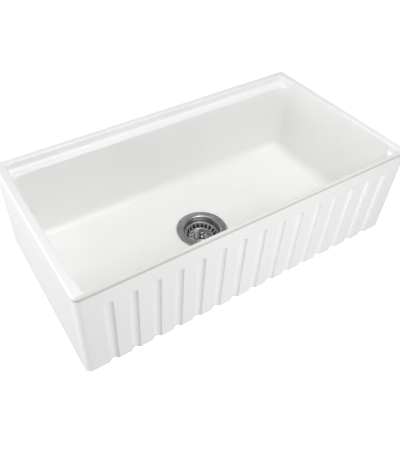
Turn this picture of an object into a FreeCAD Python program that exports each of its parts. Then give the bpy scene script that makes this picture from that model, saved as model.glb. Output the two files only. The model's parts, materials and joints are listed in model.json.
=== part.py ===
import FreeCAD, Part
import math
import os
import Sketcher

# Farmhouse apron front sink in glazed fireclay, with a 3-1/2 inch basket strainer.
# Millimetres. X runs along the sink, Y from the apron to the back, Z up.
# The origin is the centre of the flat underside, on which the cabinet carries the sink.

# ---------------------------------------------------------------- driving sizes
SIZES = [
    # basin, outside
    ("sink_length", 762.0, "overall length, side to side"),
    ("sink_width", 404.0, "overall width, apron to back"),
    ("sink_height", 220.0, "underside to the top of the rim"),
    ("outer_corner_round", 13.0, "upright outer corners"),
    ("rim_outer_round", 4.4, "outer edge of the rim"),
    ("foot_round", 3.6, "outer edge of the underside"),
    # basin, inside
    ("wall", 19.4, "side, front and back wall under the rim"),
    ("floor_thickness", 18.0, "floor at the drain"),
    ("floor_rise", 4.0, "how much the floor climbs from the drain over floor_run"),
    ("floor_run", 400.0, "length of that slope"),
    ("basin_corner_round", 25.0, "upright inner corners"),
    ("basin_floor_round", 21.0, "between the walls and the floor"),
    ("rim_inner_round", 2.8, "inner edge of the rim"),
    # ledges for a sliding board
    ("ledge_drop", 18.2, "rim down to the ledges"),
    ("ledge_width", 19.4, "back ledge, front to back"),
    ("front_lip", 7.4, "thin upstand in front of the front ledge"),
    ("ledge_end_inset", 2.0, "ledge ends stand this far in from the side walls"),
    ("ledge_corner_round", 10.0, "upright corners at the ledge ends"),
    ("ledge_round", 5.0, "every edge at the level of the ledges"),
    # flutes of the apron
    ("flute_count", 15, "channels across the apron"),
    ("flute_side_margin", 57.6, "side of the sink to the middle of the first channel"),
    ("flute_radius", 10.4, "curve of the channel"),
    ("flute_sink", 6.1, "depth of the channel"),
    ("flute_top_gap", 43.0, "plain band over the channels"),
    ("flute_end_round", 3.5, "inside of the closed upper end"),
    ("flute_edge_round", 1.2, "lips of the channel"),
    # drain opening
    ("drain_setback", 11.5, "drain axis, towards the apron from the middle"),
    ("drain_hole_play", 1.8, "hole through the floor, past the strainer's thread"),
    ("drain_flat_margin", 2.0, "level floor around the flange seat"),
    ("drain_seat_gap", 1.6, "play around the strainer flange in its seat"),
    ("drain_seat_sink", 1.5, "depth of the flange seat"),
    ("drain_seat_edge", 1.0, "round of the seat's upper edge"),
    ("clamp_recess_play", 8.5, "round relief in the underside, past the nut's lugs"),
    ("clamp_recess_sink", 5.0, "depth of that relief"),
    # strainer body
    ("well_radius", 41.2, "inside of the strainer, above the basket's shoulder"),
    ("cup_wall", 2.0, "wall and floor of the strainer"),
    ("flange_width", 15.0, "strainer flange, past the thread"),
    ("flange_lift", 2.2, "flange top over its underside"),
    ("flange_edge_round", 1.4, "upper edge of the flange"),
    ("lip_roll", 4.8, "round from the flange into the well"),
    ("shoulder_width", 2.6, "shoulder that the basket's rim sits on"),
    ("shoulder_drop", 16.0, "flange top down to the shoulder"),
    ("cup_taper", 5.6, "how much narrower the cup is at its floor"),
    ("cup_foot_round", 6.0, "between the cup's wall and its floor"),
    ("cup_drop", 40.0, "flange top down to the floor of the strainer"),
    ("thread_drop", 33.0, "flange top down to the end of the thread"),
    ("outlet_play", 0.95, "inside of the outlet, past the tube's outside"),
    ("outlet_wall", 3.9, "outlet, with its 1-1/2 inch thread"),
    ("outlet_length", 22.0, "outlet under the strainer's floor"),
    # clamping stack under the floor
    ("seal_thickness", 1.5, "foam ring under the flange"),
    ("seal_inset", 1.2, "flange edge to the ring's edge"),
    ("seal_bore_play", 0.5, "foam ring to the hole through the floor"),
    ("gasket_thickness", 3.0, "rubber ring under the floor"),
    ("gasket_width", 11.8, "rubber and paper rings, past the thread"),
    ("ring_play", 0.3, "rubber and paper rings to the thread"),
    ("slip_ring_thickness", 0.8, "paper ring that lets the nut turn"),
    ("nut_height", 9.0, "locknut"),
    ("nut_flange_height", 2.6, "its plain upper flange"),
    ("nut_wall", 7.15, "locknut between its lugs"),
    ("nut_lug_reach", 7.0, "a lug, past that wall"),
    ("nut_lug_width", 15.0, "one lug"),
    ("nut_lug_round", 2.0, "upright edges of a lug"),
    ("nut_lug_step", 0.6, "lugs end this far under the nut's top"),
    ("nut_lug_count", 8, "lugs around the nut"),
    ("thread_play", 0.15, "nut to thread, all round"),
    # cross that the stem clips into, clamped under the outlet
    ("bridge_flange", 1.0, "its thin flange, under the outlet"),
    ("bridge_flange_inset", 0.4, "edge of that flange to the outlet's thread"),
    ("bridge_height", 7.0, "ring, arms and hub over that flange"),
    ("bridge_ring", 1.4, "wall of the ring"),
    ("bridge_arm", 3.2, "thickness of an arm"),
    ("bridge_arm_count", 4, "arms"),
    ("bridge_hub_wall", 2.8, "hub around its hole"),
    ("bridge_hole_radius", 4.6, "hole that takes the clip"),
    ("bridge_play", 0.2, "ring to the inside of the outlet"),
    # tube under the outlet
    ("tail_washer_thickness", 2.0, "sealing washer over the tube's flange"),
    ("tail_radius", 19.05, "1-1/2 inch tube"),
    ("tail_wall", 1.0, "tube wall"),
    ("tail_length", 100.0, "tube under its flange"),
    ("tail_flange_inset", 0.5, "edge of the tube's flange to the outlet's thread"),
    ("tail_flange_thickness", 1.4, "that flange"),
    ("tail_flange_round", 0.6, "between the tube and its flange"),
    ("coupling_wall", 4.0, "wall of the coupling nut"),
    ("coupling_height", 19.0, "coupling nut"),
    ("coupling_floor", 2.6, "its inward flange"),
    ("coupling_foot_round", 2.0, "its lower edge"),
    ("coupling_rib_count", 12, "grip ribs around it"),
    ("coupling_rib_radius", 2.4, "one rib"),
    ("coupling_rib_set", 0.8, "middle of a rib, inside the nut's outside"),
    ("coupling_rib_foot", 3.0, "foot of the nut to the foot of the ribs"),
    ("coupling_rib_gap", 1.5, "top of the ribs to the top of the nut"),
    ("tail_play", 0.8, "coupling nut to the tube"),
    # basket
    ("basket_rim_play", 1.2, "basket's rim to the inside of the strainer"),
    ("basket_rim_width", 3.6, "flat of the rim"),
    ("basket_rim_height", 2.2, "rim, top to bottom"),
    ("basket_rim_round", 1.0, "upper edges of the rim"),
    ("basket_taper", 8.4, "how much narrower the basket is at its floor"),
    ("basket_foot_round", 3.0, "between the slotted wall and the floor"),
    ("basket_floor_ring", 9.5, "flat ring of the floor around the dome"),
    ("basket_sheet", 1.0, "sheet thickness"),
    ("dome_taper", 3.5, "how much narrower the dome is at its top"),
    ("dome_rise", 5.0, "height of the dome"),
    ("dome_round", 2.0, "upper edge of the dome"),
    ("slot_count", 20, "slots around the wall"),
    ("slot_width", 4.2, "one slot"),
    ("slot_top_gap", 2.0, "underside of the rim to the top of the slots"),
    ("slot_foot_gap", 1.6, "basket floor to the bottom of the slots"),
    ("floor_hole_count", 10, "round holes in the basket's floor"),
    ("floor_hole_radius", 2.2, "one hole"),
    ("basket_play", 0.35, "basket and stopper to the strainer, where they sit"),
    # knob, stem and stopper
    ("knob_radius", 9.0, "head of the knob"),
    ("knob_head", 5.5, "height of the head"),
    ("knob_crown_round", 3.6, "upper edge of the head"),
    ("knob_edge_round", 1.2, "lower edge of the head"),
    ("knob_neck_radius", 5.0, "neck of the knob"),
    ("knob_neck_round", 2.0, "neck into the head"),
    ("knob_foot_radius", 6.8, "foot of the knob"),
    ("knob_foot_height", 1.6, "upright edge of the foot"),
    ("knob_taper", 1.4, "height of the slopes at either end of the neck"),
    ("knob_height", 16.0, "knob over the dome"),
    ("knob_bore_depth", 8.0, "thread in the knob's foot"),
    ("stem_radius", 2.5, "rod through the basket"),
    ("stem_play", 0.05, "rod to what is threaded on it"),
    ("rivet_radius", 1.2, "rod's end, through the clip"),
    ("rivet_head_radius", 1.9, "its peened head"),
    ("rivet_head_height", 0.6, "that head"),
    ("stopper_play", 1.0, "stopper's edge to where the cup's floor turns up"),
    ("stopper_stand", 11.6, "foot of the stopper up to the basket's floor"),
    ("stopper_neck_radius", 11.0, "rubber under the basket"),
    ("stopper_neck_round", 4.0, "neck into the cone"),
    ("stopper_cone_run", 4.0, "neck to the foot of the steep part"),
    ("stopper_cone_rise", 1.5, "rise of the cone over the stopper's edge"),
    ("stopper_lip", 3.0, "height of the stopper's edge"),
    ("stopper_lip_round", 1.2, "upper side of that edge"),
    ("stopper_hollow", 1.5, "relief in its underside"),
    ("stopper_plate_play", 1.0, "plate to the edge of the relief"),
    ("stopper_plate_inset", 4.0, "edge of the plate to the outlet's inside"),
    ("stopper_plate_thickness", 1.2, "steel plate under the rubber"),
    ("stem_nut_flats", 9.0, "nut under the plate, across flats"),
    ("stem_nut_height", 3.6, "that nut"),
    ("clip_dip", 1.0, "top of the hub down to the top of the clip"),
    ("clip_play", 0.5, "clip to the hub's hole, on each side"),
    ("clip_height", 7.0, "spring clip"),
    ("clip_strip", 0.5, "spring strip thickness"),
    ("clip_bend", 0.4, "inside of a bend"),
    ("clip_width", 3.0, "width of the strip"),
]

doc = FreeCAD.newDocument("apron_sink")
sheet = doc.addObject("Spreadsheet::Sheet", "sizes")
for row, (alias, number, note) in enumerate(SIZES, start=1):
    sheet.set(f"A{row}", note)
    sheet.set(f"B{row}", str(number))
    sheet.setAlias(f"B{row}", alias)
doc.recompute()


# ---------------------------------------------------------------- sizes with their expressions
class Size:
    """A number that remembers the sheet expression it came from."""

    def __init__(self, value, text):
        self.value = value
        self.text = text

    @staticmethod
    def of(other):
        return other if isinstance(other, Size) else Size(other, repr(other))

    def join(self, other, sign, value):
        return Size(value, f"({self.text} {sign} {Size.of(other).text})")

    def __add__(self, other):
        return self.join(other, "+", self.value + Size.of(other).value)

    def __sub__(self, other):
        return self.join(other, "-", self.value - Size.of(other).value)

    def __mul__(self, other):
        return self.join(other, "*", self.value * Size.of(other).value)

    def __truediv__(self, other):
        return self.join(other, "/", self.value / Size.of(other).value)

    def __radd__(self, other):
        return Size.of(other) + self

    def __rsub__(self, other):
        return Size.of(other) - self

    def __rmul__(self, other):
        return Size.of(other) * self

    def __neg__(self):
        return Size(0, "0") - self


def s(alias):
    return Size(float(sheet.get(alias)), f"sizes.{alias}")


def root(size):
    return Size(math.sqrt(size.value), f"sqrt({size.text})")


def bind(thing, prop, size):
    """Set a property, and tie it to the sheet."""
    thing.setExpression(prop, Size.of(size).text)


# ---------------------------------------------------------------- document helpers
NODES = []


def new_body(label, is_node=True):
    body = doc.addObject("PartDesign::Body", label)
    body.Label = label
    if is_node:
        NODES.append(body)
    return body


def new_sketch(body, name, role, up=None, across=None):
    """A sketch on an origin plane, moved along the plane's normal by up and along X by across."""
    sketch = body.newObject("Sketcher::SketchObject", name)
    plane = [f for f in body.Origin.OriginFeatures if f.Role == role][0]
    sketch.AttachmentSupport = [(plane, "")]
    sketch.MapMode = "FlatFace"
    if up is not None:
        bind(sketch, "AttachmentOffset.Base.z", up)
    if across is not None:
        bind(sketch, "AttachmentOffset.Base.x", across)
    return sketch


def point_rules(geo, pos, x, y):
    """Rules that hold a sketch point at x, y: (constraint, size or None)."""
    rules = []
    for kind, axis, size in (("DistanceX", -2, x), ("DistanceY", -1, y)):
        if abs(size.value) < 1e-9:
            rules.append((Sketcher.Constraint("PointOnObject", geo, pos, axis), None))
        else:
            rules.append((Sketcher.Constraint(kind, -1, 1, geo, pos, size.value), size))
    return rules


def add_rules(sketch, rules):
    """Add all rules at once, so that nothing moves, then tie their sizes to the sheet."""
    indices = sketch.addConstraint([rule for rule, size in rules])
    for index, (rule, size) in zip(indices, rules):
        if size is not None:
            bind(sketch, f"Constraints[{index}]", size)


def corner_arc(tip, back, ahead, radius):
    """The arc that rounds a corner, where the outline joins and leaves it, and whether it turns left."""
    half = back.getAngle(ahead) / 2
    reach = radius / math.tan(half)
    centre = tip + (back + ahead).normalize() * (radius / math.sin(half))
    join, leave = tip + back * reach, tip + ahead * reach
    turns_left = back.cross(ahead).z < 0
    start, end = (join, leave) if turns_left else (leave, join)
    from_angle = math.atan2(start.y - centre.y, start.x - centre.x)
    to_angle = math.atan2(end.y - centre.y, end.x - centre.x)
    if to_angle < from_angle:
        to_angle += 2 * math.pi
    ring = Part.Circle(centre, FreeCAD.Vector(0, 0, 1), radius)
    return Part.ArcOfCircle(ring, from_angle, to_angle), join, leave, turns_left


def outline(sketch, corners):
    """A closed outline through corners (x, y) or (x, y, radius), each radius a tangent arc."""
    corners = [tuple(Size.of(v) for v in corner) for corner in corners]
    count = len(corners)
    at = [FreeCAD.Vector(c[0].value, c[1].value, 0) for c in corners]
    arcs, joins, leaves = {}, list(at), list(at)
    for i, corner in enumerate(corners):
        if len(corner) > 2:
            back = (at[i - 1] - at[i]).normalize()
            ahead = (at[(i + 1) % count] - at[i]).normalize()
            arc, joins[i], leaves[i], turns_left = corner_arc(at[i], back, ahead, corner[2].value)
            arcs[i] = (arc, turns_left)
    lines = []
    for i in range(count):
        side = Part.LineSegment(leaves[i], joins[(i + 1) % count])
        lines.append(sketch.addGeometry(side, False))
    rules = []
    for i, corner in enumerate(corners):
        before, after = lines[i - 1], lines[i]
        if i not in arcs:
            rules.append((Sketcher.Constraint("Coincident", before, 2, after, 1), None))
            rules += point_rules(after, 1, corner[0], corner[1])
            continue
        arc = sketch.addGeometry(arcs[i][0], False)
        first, last = (1, 2) if arcs[i][1] else (2, 1)
        tip = sketch.addGeometry(Part.Point(at[i]), True)
        rules.append((Sketcher.Constraint("Tangent", before, 2, arc, first), None))
        rules.append((Sketcher.Constraint("Tangent", arc, last, after, 1), None))
        rules.append((Sketcher.Constraint("Radius", arc, corner[2].value), corner[2]))
        rules.append((Sketcher.Constraint("PointOnObject", tip, 1, before), None))
        rules.append((Sketcher.Constraint("PointOnObject", tip, 1, after), None))
        rules += point_rules(tip, 1, corner[0], corner[1])
    add_rules(sketch, rules)
    return sketch


def circle(sketch, x, y, radius):
    x, y, radius = Size.of(x), Size.of(y), Size.of(radius)
    centre = FreeCAD.Vector(x.value, y.value, 0)
    geo = sketch.addGeometry(Part.Circle(centre, FreeCAD.Vector(0, 0, 1), radius.value), False)
    rules = point_rules(geo, 3, x, y)
    rules.append((Sketcher.Constraint("Radius", geo, radius.value), radius))
    add_rules(sketch, rules)
    return sketch


def feature(body, kind, name, sketch, **settings):
    """A PartDesign feature on a sketch; Size settings are tied to the sheet."""
    made = body.newObject(f"PartDesign::{kind}", name)
    made.Profile = sketch
    for prop, value in settings.items():
        if isinstance(value, Size):
            bind(made, prop, value)
        else:
            setattr(made, prop, value)
    body.Tip = made
    doc.recompute()
    return made


def turned(body, kind, name, sketch):
    """A full turn about the sketch's upright axis."""
    return feature(body, kind, name, sketch, ReferenceAxis=(sketch, ["V_Axis"]), Angle=360.0)


def repeat_around(body, name, cut, sketch, count):
    pattern = body.newObject("PartDesign::PolarPattern", name)
    pattern.Originals = [cut]
    pattern.Axis = (sketch, ["N_Axis"])
    pattern.Angle = 360
    bind(pattern, "Occurrences", count)
    body.Tip = pattern
    doc.recompute()
    return pattern


def edges_where(base, test):
    """Names of the edges whose bounding box passes the test."""
    return [f"Edge{i}" for i, edge in enumerate(base.Shape.Edges, start=1) if test(edge.BoundBox, edge)]


def rounded(body, name, base, edges, radius):
    made = body.newObject("PartDesign::Fillet", name)
    made.Base = (base, edges)
    bind(made, "Radius", radius)
    body.Tip = made
    doc.recompute()
    return made


def near(a, b, slack=0.01):
    return abs(a - b) < slack


def is_level(box, height):
    return near(box.ZMin, height) and near(box.ZMax, height)


def put_at(body, x=None, y=None, z=None):
    """Place a body, tied to the sheet."""
    for axis, size in (("x", x), ("y", y), ("z", z)):
        if size is not None:
            bind(body, f"Placement.Base.{axis}", size)


# ---------------------------------------------------------------- levels and lines shared by the pieces
half_length = s("sink_length") / 2
half_width = s("sink_width") / 2
top = s("sink_height")
inner_x = half_length - s("wall")
rim_back_y = half_width - s("wall")
basin_back_y = rim_back_y - s("ledge_width")
basin_front_y = s("wall") - half_width
lip_y = s("front_lip") - half_width
ledge_z = top - s("ledge_drop")
drain_y = -s("drain_setback")

thread_radius = s("well_radius") + s("cup_wall")
flange_radius = thread_radius + s("flange_width")
seat_radius = flange_radius + s("drain_seat_gap")
drain_hole_radius = thread_radius + s("drain_hole_play")
cup_radius = s("well_radius") - s("shoulder_width")
cup_foot_radius = cup_radius - s("cup_taper")
nut_web_radius = thread_radius + s("thread_play") + s("nut_wall")
nut_lug_radius = nut_web_radius + s("nut_lug_reach")
outlet_radius = s("tail_radius") + s("outlet_play")
outlet_thread_radius = outlet_radius + s("outlet_wall")
basket_rim_radius = s("well_radius") - s("basket_rim_play")
basket_mouth_radius = basket_rim_radius - s("basket_rim_width")
basket_foot_radius = basket_mouth_radius - s("basket_taper")
dome_foot_radius = basket_foot_radius - s("basket_floor_ring")
dome_top_radius = dome_foot_radius - s("dome_taper")
stem_hole_radius = s("stem_radius") + 2 * s("stem_play")

seat_z = s("floor_thickness") - s("drain_seat_sink")
flange_z = seat_z + s("seal_thickness")
strainer_top = flange_z + s("flange_lift")
shoulder_z = strainer_top - s("shoulder_drop")
cup_floor_z = strainer_top - s("cup_drop")
cup_underside_z = cup_floor_z - s("cup_wall")
thread_end_z = strainer_top - s("thread_drop")
outlet_end_z = cup_underside_z - s("outlet_length")
basket_rim_z = shoulder_z + s("basket_play")
basket_top_z = basket_rim_z + s("basket_rim_height")
stopper_bottom_z = cup_floor_z + s("basket_play")
basket_floor_z = stopper_bottom_z + s("stopper_stand") + s("basket_sheet")
dome_z = basket_floor_z + s("dome_rise")
stopper_top_z = dome_z - s("basket_sheet")
plate_top_z = stopper_bottom_z + s("stopper_hollow")
plate_bottom_z = plate_top_z - s("stopper_plate_thickness")
gasket_z = s("clamp_recess_sink") - s("gasket_thickness")
slip_ring_z = gasket_z - s("slip_ring_thickness")
nut_z = slip_ring_z - s("nut_height")
bridge_z = outlet_end_z - s("bridge_flange")
tail_washer_z = bridge_z - s("tail_washer_thickness")
tail_flange_z = tail_washer_z - s("tail_flange_thickness")
clip_top_z = outlet_end_z + s("bridge_height") - s("clip_dip")


# ---------------------------------------------------------------- basin
def basin_hollow():
    """The space inside the basin, with a floor that falls to the drain."""
    body = new_body("hollow_form", is_node=False)
    plan = new_sketch(body, "hollow_plan", "XY_Plane", up=s("floor_thickness"))
    outline(plan, [(-inner_x, basin_front_y), (inner_x, basin_front_y),
                   (inner_x, basin_back_y), (-inner_x, basin_back_y)])
    above_rim = 10
    feature(body, "Pad", "hollow_block", plan, Length=top - s("floor_thickness") + above_rim)
    slope = new_sketch(body, "floor_slope", "XZ_Plane", up=s("drain_setback"))
    flat = seat_radius + s("drain_flat_margin")
    beyond = flat + s("sink_length")
    climb = s("floor_rise") * s("sink_length") / s("floor_run")
    floor_z = s("floor_thickness")
    under = 1
    outline(slope, [(flat, floor_z), (beyond, floor_z - under), (beyond, floor_z + climb)])
    turned(body, "Groove", "floor_cone", slope)

    def is_upright(box):
        return box.XLength < 0.01 and box.YLength < 0.01

    def is_foot(box):
        at_side = near(box.XMin, box.XMax) and near(abs(box.XMin), inner_x.value)
        at_end = near(box.YMin, box.YMax) and not near(box.YMin, drain_y.value)
        return box.ZMax < ledge_z.value and (at_side or at_end) and not is_upright(box)

    rounds = doc.addObject("Part::Fillet", "hollow_rounds")
    rounds.Base = body
    radii = ((is_upright, s("basin_corner_round").value), (is_foot, s("basin_floor_round").value))
    rounds.Edges = [(i, radius, radius) for is_wanted, radius in radii
                    for i, edge in enumerate(body.Shape.Edges, start=1) if is_wanted(edge.BoundBox)]
    hollow = new_body("basin_hollow", is_node=False)
    hollow.BaseFeature = rounds
    doc.recompute()
    return hollow


def ledge_cut(body, name, y_near, y_far):
    """Cut one ledge: y_near lies inside the basin, y_far is the riser."""
    end_x = inner_x - s("ledge_end_inset")
    corner = s("ledge_corner_round")
    plan = new_sketch(body, name + "_plan", "XY_Plane", up=top)
    outline(plan, [(-end_x, y_near), (end_x, y_near), (end_x, y_far, corner), (-end_x, y_far, corner)])
    return feature(body, "Pocket", name, plan, Length=s("ledge_drop"))


def make_basin():
    hollow = basin_hollow()
    body = new_body("sink_basin")
    plan = new_sketch(body, "outer_plan", "XY_Plane")
    corner = s("outer_corner_round")
    outline(plan, [
        (-half_length, -half_width, corner), (half_length, -half_width, corner),
        (half_length, half_width, corner), (-half_length, half_width, corner)])
    block = feature(body, "Pad", "block", plan, Length=top)
    rim = edges_where(block, lambda box, edge: is_level(box, top.value))
    block = rounded(body, "rim_outer", block, rim, s("rim_outer_round"))
    foot = edges_where(block, lambda box, edge: is_level(box, 0))
    rounded(body, "foot", block, foot, s("foot_round"))

    flute_axis_y = half_width + s("flute_radius") - s("flute_sink")
    first_x = s("flute_side_margin") - half_length
    flute = new_sketch(body, "flute_profile", "XZ_Plane", up=flute_axis_y, across=first_x)
    flute_top = top - s("flute_top_gap")
    under_foot = -5
    outline(flute, [(0, under_foot), (s("flute_radius"), under_foot),
                    (s("flute_radius"), flute_top, s("flute_end_round")), (0, flute_top)])
    first_flute = turned(body, "Groove", "flute", flute)
    flutes = body.newObject("PartDesign::LinearPattern", "flutes")
    flutes.Originals = [first_flute]
    flutes.Direction = (plan, ["H_Axis"])
    bind(flutes, "Length", s("sink_length") - 2 * s("flute_side_margin"))
    bind(flutes, "Occurrences", s("flute_count"))
    body.Tip = flutes
    doc.recompute()
    face_y = -half_width.value
    last_x = half_length.value - corner.value - 1

    def is_lip(box):
        in_face = near(box.YMin, face_y) and near(box.YMax, face_y)
        in_height = box.ZMin > s("foot_round").value / 2 and box.ZMax < flute_top.value + 0.01
        return in_face and in_height and abs(box.XMin) < last_x

    lips = edges_where(flutes, lambda box, edge: is_lip(box))
    rounded(body, "flute_lips", flutes, lips, s("flute_edge_round"))

    carve = body.newObject("PartDesign::Boolean", "carve")
    carve.Type = "Cut"
    carve.setObjects([hollow])
    body.Tip = carve
    doc.recompute()

    overlap = 6
    corner = s("basin_corner_round")
    ledge_cut(body, "back_ledge", basin_back_y - corner - overlap, rim_back_y)
    cut = ledge_cut(body, "front_ledge", basin_front_y + corner + overlap, lip_y)
    round_ledges_and_rim(body, cut)
    drain_opening(body)


def round_ledges_and_rim(body, cut):
    """Soften the ledges, their kinks against the walls and the inner edge of the rim."""
    low, high = ledge_z.value, top.value
    kink_x = inner_x.value - s("ledge_end_inset").value
    riser_round = s("ledge_corner_round").value

    def is_kink(box):
        upright = near(box.ZMin, low) and near(box.ZMax, high) and box.XLength < 0.01 and box.YLength < 0.01
        back_kink = box.YMax < rim_back_y.value - riser_round - 1
        front_kink = box.YMin > lip_y.value + riser_round + 1
        return upright and near(abs(box.XMin), kink_x) and back_kink and front_kink

    at_ledges = edges_where(cut, lambda box, edge: is_level(box, low) or is_kink(box))
    softened = rounded(body, "ledge_rounds", cut, at_ledges, s("ledge_round"))
    inside = inner_x.value + 0.01
    rim = edges_where(softened, lambda box, edge: is_level(box, high) and abs(box.XMin) < inside
                      and abs(box.XMax) < inside and box.YMin > lip_y.value - 0.01
                      and box.YMax < rim_back_y.value + 0.01)
    rounded(body, "rim_inner", softened, rim, s("rim_inner_round"))


def drain_opening(body):
    """Seat for the flange, hole through the floor and relief for the nut, turned about the drain."""
    profile = new_sketch(body, "drain_profile", "XZ_Plane", up=s("drain_setback"))
    recess_radius = nut_lug_radius + s("clamp_recess_play")
    clear = 3
    outline(profile, [
        (0, -clear), (recess_radius, -clear), (recess_radius, s("clamp_recess_sink")),
        (drain_hole_radius, s("clamp_recess_sink")), (drain_hole_radius, seat_z), (seat_radius, seat_z),
        (seat_radius, s("floor_thickness") + clear), (0, s("floor_thickness") + clear)])
    bored = turned(body, "Groove", "drain_bore", profile)
    edge = edges_where(bored, lambda box, edge: is_level(box, s("floor_thickness").value)
                       and near(box.XLength, 2 * seat_radius.value))
    rounded(body, "seat_edge", bored, edge, s("drain_seat_edge"))


# ---------------------------------------------------------------- shapes that several pieces share
def turned_body(label, corners):
    """A piece turned about the drain's axis from one outline of (radius, height)."""
    body = new_body(label)
    profile = new_sketch(body, label + "_profile", "XZ_Plane")
    outline(profile, corners)
    turned(body, "Revolution", label + "_turned", profile)
    return body


def flat_ring(label, inner, outer, bottom, thickness):
    body = new_body(label)
    plan = new_sketch(body, label + "_plan", "XY_Plane", up=bottom)
    circle(plan, 0, 0, outer)
    circle(plan, 0, 0, inner)
    feature(body, "Pad", label + "_ring", plan, Length=thickness)
    return body


# ---------------------------------------------------------------- strainer and what clamps it
def make_strainer():
    return turned_body("strainer_body", [
        (flange_radius, flange_z), (flange_radius, strainer_top, s("flange_edge_round")),
        (s("well_radius"), strainer_top, s("lip_roll")), (s("well_radius"), shoulder_z),
        (cup_radius, shoulder_z), (cup_foot_radius, cup_floor_z, s("cup_foot_round")),
        (outlet_radius, cup_floor_z), (outlet_radius, outlet_end_z), (outlet_thread_radius, outlet_end_z),
        (outlet_thread_radius, cup_underside_z),
        (cup_foot_radius + s("cup_wall"), cup_underside_z, s("cup_foot_round")),
        (thread_radius, thread_end_z), (thread_radius, flange_z)])


def make_clamping_rings():
    inner = thread_radius + s("ring_play")
    outer = thread_radius + s("gasket_width")
    seal_inner = drain_hole_radius + s("seal_bore_play")
    seal_outer = flange_radius - s("seal_inset")
    flat_ring("flange_seal", seal_inner, seal_outer, seat_z, s("seal_thickness"))
    flat_ring("floor_gasket", inner, outer, gasket_z, s("gasket_thickness"))
    flat_ring("slip_ring", inner, outer, slip_ring_z, s("slip_ring_thickness"))


def make_locknut():
    inner = thread_radius + s("thread_play")
    flange_bottom = slip_ring_z - s("nut_flange_height")
    nut_flange_radius = nut_web_radius + s("nut_lug_reach") / 2
    body = turned_body("locknut", [
        (inner, slip_ring_z), (inner, nut_z), (nut_web_radius, nut_z), (nut_web_radius, flange_bottom),
        (nut_flange_radius, flange_bottom), (nut_flange_radius, slip_ring_z)])
    plan = new_sketch(body, "lug_plan", "XY_Plane", up=nut_z)
    half = s("nut_lug_width") / 2
    root = inner + s("nut_wall") / 2
    corner = s("nut_lug_round")
    outline(plan, [(root, -half), (nut_lug_radius, -half, corner), (nut_lug_radius, half, corner),
                   (root, half)])
    lug = feature(body, "Pad", "lug", plan, Length=s("nut_height") - s("nut_lug_step"))
    repeat_around(body, "lugs", lug, plan, s("nut_lug_count"))
    return body


def make_bridge():
    outer = outlet_radius - s("bridge_play")
    top_z = outlet_end_z + s("bridge_height")
    bridge_flange_radius = outlet_thread_radius - s("bridge_flange_inset")
    ring_inner = outer - s("bridge_ring")
    body = turned_body("outlet_bridge", [
        (ring_inner, bridge_z), (bridge_flange_radius, bridge_z), (bridge_flange_radius, outlet_end_z),
        (outer, outlet_end_z), (outer, top_z), (ring_inner, top_z)])
    hub_plan = new_sketch(body, "hub_plan", "XY_Plane", up=bridge_z)
    circle(hub_plan, 0, 0, s("bridge_hole_radius") + s("bridge_hub_wall"))
    feature(body, "Pad", "hub", hub_plan, Length=s("bridge_height"))
    arm_plan = new_sketch(body, "arm_plan", "XY_Plane", up=bridge_z)
    half = s("bridge_arm") / 2
    reach = ring_inner + s("bridge_ring") / 2
    outline(arm_plan, [(s("bridge_hole_radius"), -half), (reach, -half), (reach, half),
                       (s("bridge_hole_radius"), half)])
    arm = feature(body, "Pad", "arm", arm_plan, Length=s("bridge_height"))
    repeat_around(body, "arms", arm, arm_plan, s("bridge_arm_count"))
    hole_plan = new_sketch(body, "hole_plan", "XY_Plane", up=top_z)
    circle(hole_plan, 0, 0, s("bridge_hole_radius"))
    clear = 1
    feature(body, "Pocket", "hub_hole", hole_plan, Length=s("bridge_height") + s("bridge_flange") + clear)
    return body


def make_tail():
    bore = s("tail_radius") - s("tail_wall")
    tube_flange_radius = outlet_thread_radius - s("tail_flange_inset")
    end_z = tail_flange_z - s("tail_length")
    flat_ring("tail_washer", s("tail_radius"), tube_flange_radius, tail_washer_z, s("tail_washer_thickness"))
    turned_body("tailpiece", [
        (bore, end_z), (s("tail_radius"), end_z), (s("tail_radius"), tail_flange_z, s("tail_flange_round")),
        (tube_flange_radius, tail_flange_z), (tube_flange_radius, tail_washer_z), (bore, tail_washer_z)])


def make_coupling():
    bore = outlet_thread_radius + s("thread_play")
    outer = bore + s("coupling_wall")
    low = tail_flange_z - s("coupling_floor")
    high = low + s("coupling_height")
    hole = s("tail_radius") + s("tail_play")
    body = turned_body("coupling_nut", [
        (hole, low), (outer, low, s("coupling_foot_round")), (outer, high), (bore, high),
        (bore, tail_flange_z), (hole, tail_flange_z)])
    plan = new_sketch(body, "rib_plan", "XY_Plane", up=low + s("coupling_rib_foot"))
    circle(plan, outer - s("coupling_rib_set"), 0, s("coupling_rib_radius"))
    rib_height = s("coupling_height") - s("coupling_rib_foot") - s("coupling_rib_gap")
    rib = feature(body, "Pad", "rib", plan, Length=rib_height)
    repeat_around(body, "ribs", rib, plan, s("coupling_rib_count"))
    return body


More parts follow.
